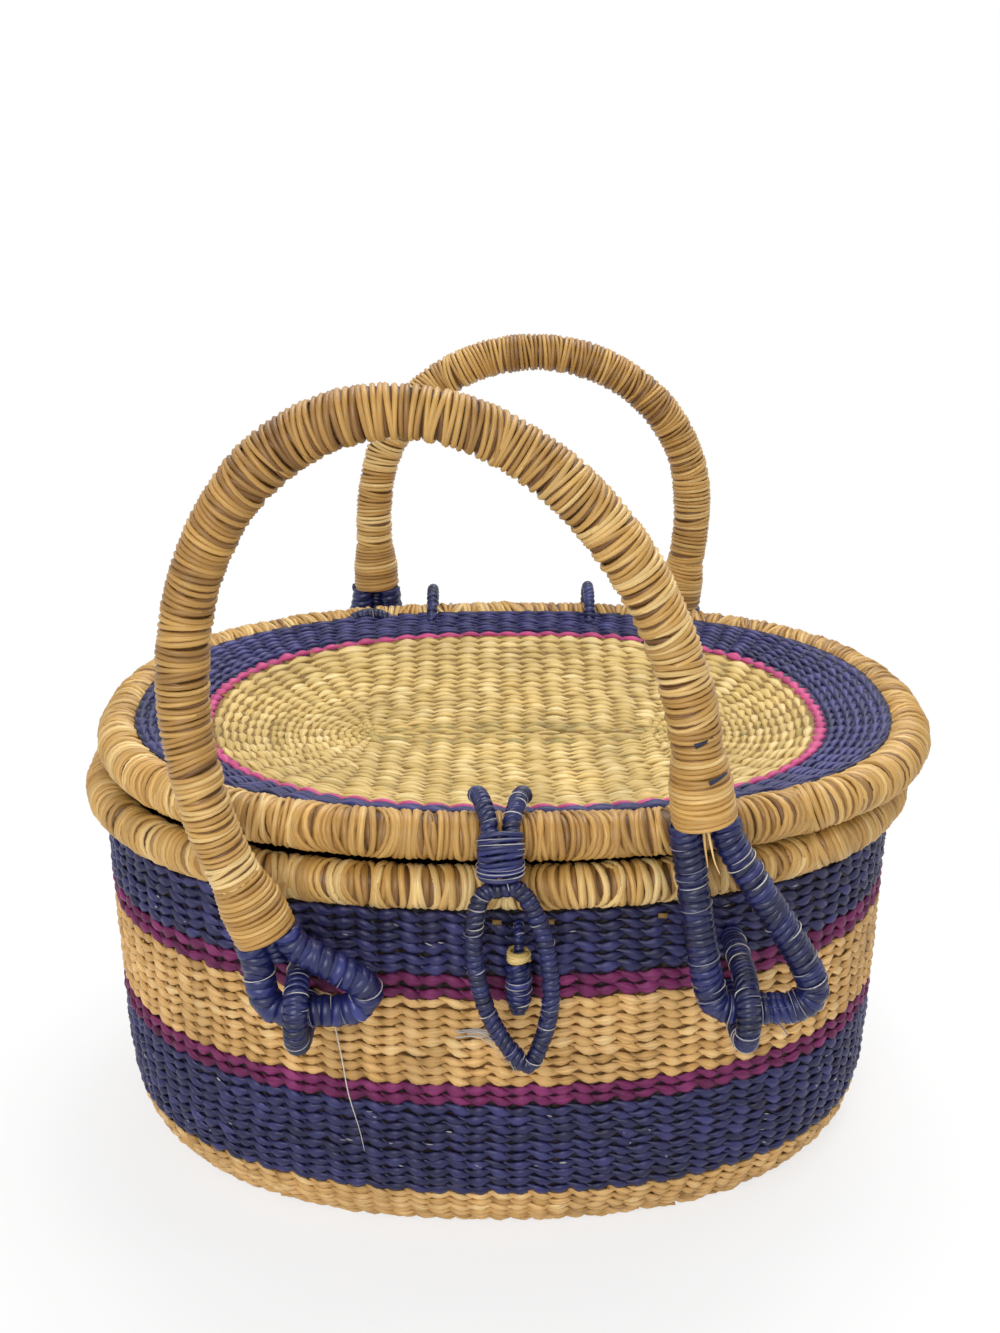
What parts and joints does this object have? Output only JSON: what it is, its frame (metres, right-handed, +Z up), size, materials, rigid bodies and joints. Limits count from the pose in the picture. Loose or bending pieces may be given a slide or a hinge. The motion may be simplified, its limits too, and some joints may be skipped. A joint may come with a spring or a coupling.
{
  "type": "picnic basket",
  "caption": "Oval lidded picnic basket of twined straw with coloured bands, wrapped rims, swinging arch handles and a loop and toggle clasp.",
  "frame": {"origin": "middle of the underside of the base, on the surface that the basket stands on", "axes": "+X along the length, to the right seen from the front; +Y to the back, where the hinges are; +Z up"},
  "size_m": [0.4254, 0.3943, 0.4047],
  "materials": {
    "straw_natural": "satin natural straw",
    "straw_pale": "satin pale straw",
    "straw_blue": "satin dyed straw, dark blue",
    "straw_purple": "satin dyed straw, purple",
    "straw_pink": "satin dyed straw, pink",
    "straw_core": "matt straw bundle"
  },
  "bodies": {
    "basket": {"base_panel": "straw_natural", "stake_cage": "straw_core", "band_foot_natural": "straw_natural", "band_lower_blue": "straw_blue", "band_lower_purple": "straw_purple", "band_middle_natural": "straw_natural", "band_upper_purple": "straw_purple", "band_upper_blue": "straw_blue", "basket_rim_core": "straw_core", "basket_rim_wrap": "straw_natural", "hinge_loop_left": "straw_blue", "hinge_loop_right": "straw_blue", "front_left_wall_loop": "straw_blue", "front_right_wall_loop": "straw_blue", "back_left_wall_loop": "straw_blue", "back_right_wall_loop": "straw_blue", "toggle_cord": "straw_blue"},
    "lid": {"lid_panel_centre": "straw_pale", "lid_accent_row": "straw_pink", "lid_panel_border": "straw_blue", "lid_rim_core": "straw_core", "lid_rim_wrap": "straw_natural", "clasp_strap_left": "straw_blue", "clasp_strap_right": "straw_blue", "clasp_binding": "straw_blue"},
    "front_handle": {"front_handle_core": "straw_core", "front_handle_wrap": "straw_natural", "front_handle_left_cuff": "straw_natural", "front_handle_right_cuff": "straw_natural", "front_handle_left_ring": "straw_blue", "front_handle_right_ring": "straw_blue"},
    "back_handle": {"back_handle_core": "straw_core", "back_handle_wrap": "straw_natural", "back_handle_left_cuff": "straw_natural", "back_handle_right_cuff": "straw_natural", "back_handle_left_ring": "straw_blue", "back_handle_right_ring": "straw_blue"},
    "clasp": {"clasp_loop": "straw_blue"},
    "toggle": {"toggle_body": "straw_blue", "toggle_binding": "straw_pale"}
  },
  "joints": [
    {"name": "lid_hinge", "type": "hinge", "parent": "basket", "child": "lid", "pos_m": [0.008, 0.152, 0.2106], "axis": [-1, 0, 0], "range_deg": [0, 85]},
    {"name": "front_handle_swing", "type": "hinge", "parent": "basket", "child": "front_handle", "pos_m": [0.009, -0.17489, 0.1405], "axis": [1, 0, 0], "range_deg": [0, 110]},
    {"name": "back_handle_swing", "type": "hinge", "parent": "basket", "child": "back_handle", "pos_m": [0.009, 0.18104, 0.1405], "axis": [-1, 0, 0], "range_deg": [0, 110]},
    {"name": "clasp_swing", "type": "hinge", "parent": "lid", "child": "clasp", "pos_m": [0, -0.1712, 0.1955], "axis": [-1, 0, 0], "range_deg": [0, 95]},
    {"name": "toggle_swing", "type": "hinge", "parent": "basket", "child": "toggle", "pos_m": [0.008, -0.1606, 0.1628], "axis": [-1, 0, 0], "range_deg": [0, 65]}
  ]
}
